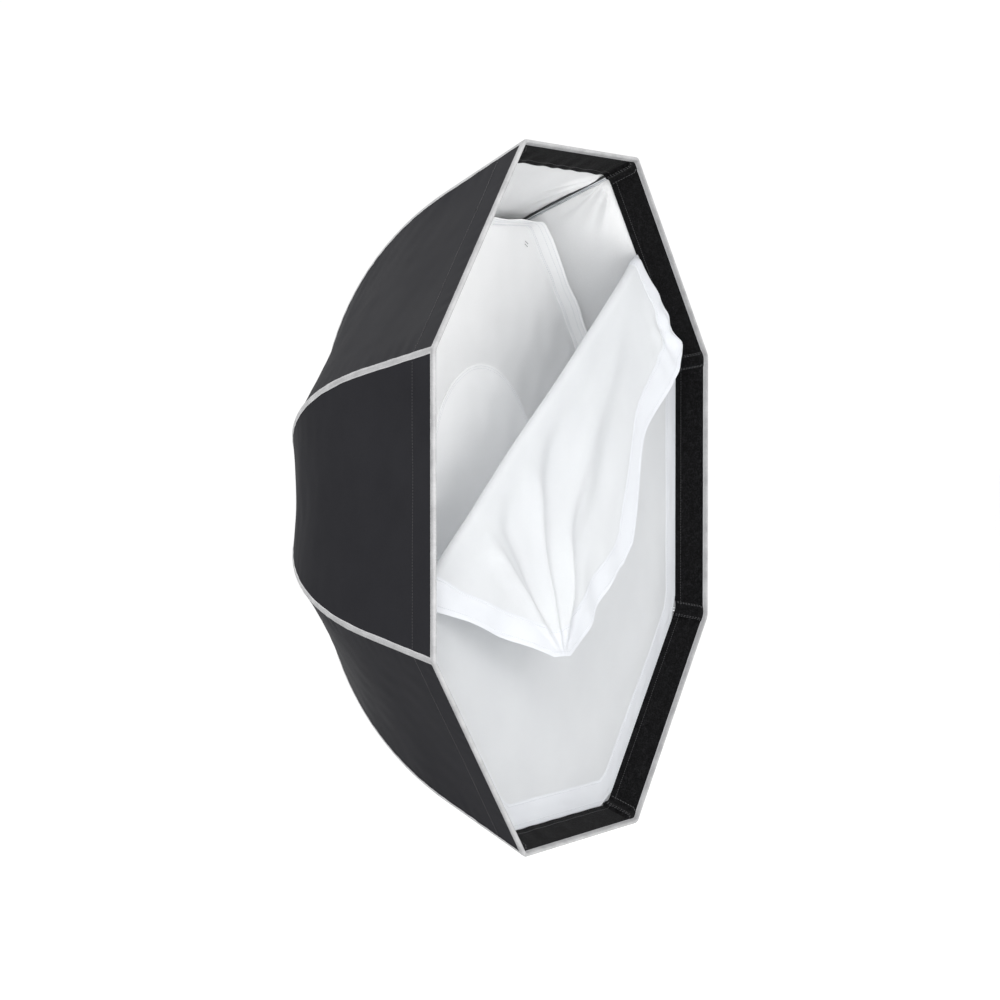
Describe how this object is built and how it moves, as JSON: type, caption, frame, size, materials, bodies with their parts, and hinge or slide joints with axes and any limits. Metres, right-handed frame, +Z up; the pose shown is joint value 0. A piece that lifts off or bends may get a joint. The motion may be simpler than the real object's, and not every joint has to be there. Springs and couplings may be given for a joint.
{
  "type": "octagonal softbox",
  "caption": "Folding octagonal softbox: black fabric shell on hinged channel ribs round a turning bayonet hub, with an inner baffle and a half peeled front diffuser.",
  "frame": {"origin": "centre of the seat face of the mount ring, on the axis of its bore", "axes": "+Y along the softbox's axis to the rear, towards the light it is mounted on; the open front faces -Y; +Z up"},
  "size_m": [0.8314, 0.3847, 0.8314],
  "materials": {
    "mount_metal": "satin anodised",
    "hub_metal": "matt black powder coat",
    "steel": "plated",
    "rod_metal": "bright drawn channel",
    "black_plastic": "moulded",
    "slip_plastic": "smooth",
    "shell_fabric": "black satin nylon, silver inside",
    "lip_fabric": "black loop fabric",
    "white_fabric": "thin white nylon",
    "baffle_fabric": "thin white nylon"
  },
  "bodies": {
    "mount": {"mount_ring": "mount_metal", "retainer_ring": "steel", "retainer_screws": "steel"},
    "hub": {"hub_ring": "hub_metal", "slip_ring": "slip_plastic", "hinge_pins": "steel", "detent_plungers": "steel", "neck_clamp": "steel", "shell_neck": "shell_fabric"},
    "lock": {"lock_screw": "steel", "lock_knob": "black_plastic"},
    "rib_1": {"rib_1_rod": "rod_metal", "rib_1_foot": "black_plastic", "rib_1_cap": "black_plastic", "shell_panel_1": "shell_fabric", "lip_band_1": "lip_fabric"},
    "rib_2": {"rib_2_rod": "rod_metal", "rib_2_foot": "black_plastic", "rib_2_cap": "black_plastic", "shell_panel_2": "shell_fabric", "lip_band_2": "lip_fabric"},
    "rib_3": {"rib_3_rod": "rod_metal", "rib_3_foot": "black_plastic", "rib_3_cap": "black_plastic", "shell_panel_3": "shell_fabric", "lip_band_3": "lip_fabric"},
    "rib_4": {"rib_4_rod": "rod_metal", "rib_4_foot": "black_plastic", "rib_4_cap": "black_plastic", "shell_panel_4": "shell_fabric", "lip_band_4": "lip_fabric"},
    "rib_5": {"rib_5_rod": "rod_metal", "rib_5_foot": "black_plastic", "rib_5_cap": "black_plastic", "shell_panel_5": "shell_fabric", "lip_band_5": "lip_fabric"},
    "rib_6": {"rib_6_rod": "rod_metal", "rib_6_foot": "black_plastic", "rib_6_cap": "black_plastic", "shell_panel_6": "shell_fabric", "lip_band_6": "lip_fabric"},
    "rib_7": {"rib_7_rod": "rod_metal", "rib_7_foot": "black_plastic", "rib_7_cap": "black_plastic", "shell_panel_7": "shell_fabric", "lip_band_7": "lip_fabric"},
    "rib_8": {"rib_8_rod": "rod_metal", "rib_8_foot": "black_plastic", "rib_8_cap": "black_plastic", "shell_panel_8": "shell_fabric", "lip_band_8": "lip_fabric"},
    "diffuser": {"diffuser_cloth": "white_fabric", "diffuser_hem": "white_fabric", "diffuser_flap": "white_fabric"},
    "baffle": {"baffle_cloth": "baffle_fabric", "baffle_skirt": "baffle_fabric", "baffle_patch": "baffle_fabric", "baffle_tabs": "baffle_fabric"}
  },
  "joints": [
    {"name": "mount_turn", "type": "hinge", "parent": "mount", "child": "hub", "pos_m": [0, 0, 0], "axis": [0, 1, 0], "continuous": true},
    {"name": "lock_turn", "type": "hinge", "parent": "hub", "child": "lock", "pos_m": [0.09, -0.0027, 0], "axis": [1, 0, 0], "range_deg": [0, 360]},
    {"name": "rib_1_fold", "type": "hinge", "parent": "hub", "child": "rib_1", "pos_m": [0.07114, -0.0205, 0.02947], "axis": [0.3827, 0, -0.9239], "range_deg": [0, 50], "deforming": ["shell_panel_1", "lip_band_1"]},
    {"name": "rib_2_fold", "type": "hinge", "parent": "hub", "child": "rib_2", "pos_m": [0.02947, -0.0205, 0.07114], "axis": [0.9239, 0, -0.3827], "range_deg": [0, 50], "deforming": ["shell_panel_2", "lip_band_2"]},
    {"name": "rib_3_fold", "type": "hinge", "parent": "hub", "child": "rib_3", "pos_m": [-0.02947, -0.0205, 0.07114], "axis": [0.9239, 0, 0.3827], "range_deg": [0, 50], "deforming": ["shell_panel_3", "lip_band_3"]},
    {"name": "rib_4_fold", "type": "hinge", "parent": "hub", "child": "rib_4", "pos_m": [-0.07114, -0.0205, 0.02947], "axis": [0.3827, 0, 0.9239], "range_deg": [0, 50], "deforming": ["shell_panel_4", "lip_band_4"]},
    {"name": "rib_5_fold", "type": "hinge", "parent": "hub", "child": "rib_5", "pos_m": [-0.07114, -0.0205, -0.02947], "axis": [-0.3827, 0, 0.9239], "range_deg": [0, 50], "deforming": ["shell_panel_5", "lip_band_5"]},
    {"name": "rib_6_fold", "type": "hinge", "parent": "hub", "child": "rib_6", "pos_m": [-0.02947, -0.0205, -0.07114], "axis": [-0.9239, 0, 0.3827], "range_deg": [0, 50], "deforming": ["shell_panel_6", "lip_band_6"]},
    {"name": "rib_7_fold", "type": "hinge", "parent": "hub", "child": "rib_7", "pos_m": [0.02947, -0.0205, -0.07114], "axis": [-0.9239, 0, -0.3827], "range_deg": [0, 50], "deforming": ["shell_panel_7", "lip_band_7"]},
    {"name": "rib_8_fold", "type": "hinge", "parent": "hub", "child": "rib_8", "pos_m": [0.07114, -0.0205, -0.02947], "axis": [-0.3827, 0, -0.9239], "range_deg": [0, 50], "deforming": ["shell_panel_8", "lip_band_8"]},
    {"name": "diffuser_off", "type": "slide", "parent": "hub", "child": "diffuser", "axis": [0, -1, 0], "range_m": [0, 1.25]},
    {"name": "baffle_off", "type": "slide", "parent": "hub", "child": "baffle", "axis": [0, -1, 0], "range_m": [0, 1.1]}
  ],
  "couplings": [
    {"joint": "rib_2_fold", "follows": "rib_1_fold", "ratio": 1},
    {"joint": "rib_3_fold", "follows": "rib_1_fold", "ratio": 1},
    {"joint": "rib_4_fold", "follows": "rib_1_fold", "ratio": 1},
    {"joint": "rib_5_fold", "follows": "rib_1_fold", "ratio": 1},
    {"joint": "rib_6_fold", "follows": "rib_1_fold", "ratio": 1},
    {"joint": "rib_7_fold", "follows": "rib_1_fold", "ratio": 1},
    {"joint": "rib_8_fold", "follows": "rib_1_fold", "ratio": 1},
    {"joint": "diffuser_off", "follows": "rib_1_fold", "m_per_rad": 1.4323},
    {"joint": "baffle_off", "follows": "rib_1_fold", "m_per_rad": 1.2604}
  ]
}
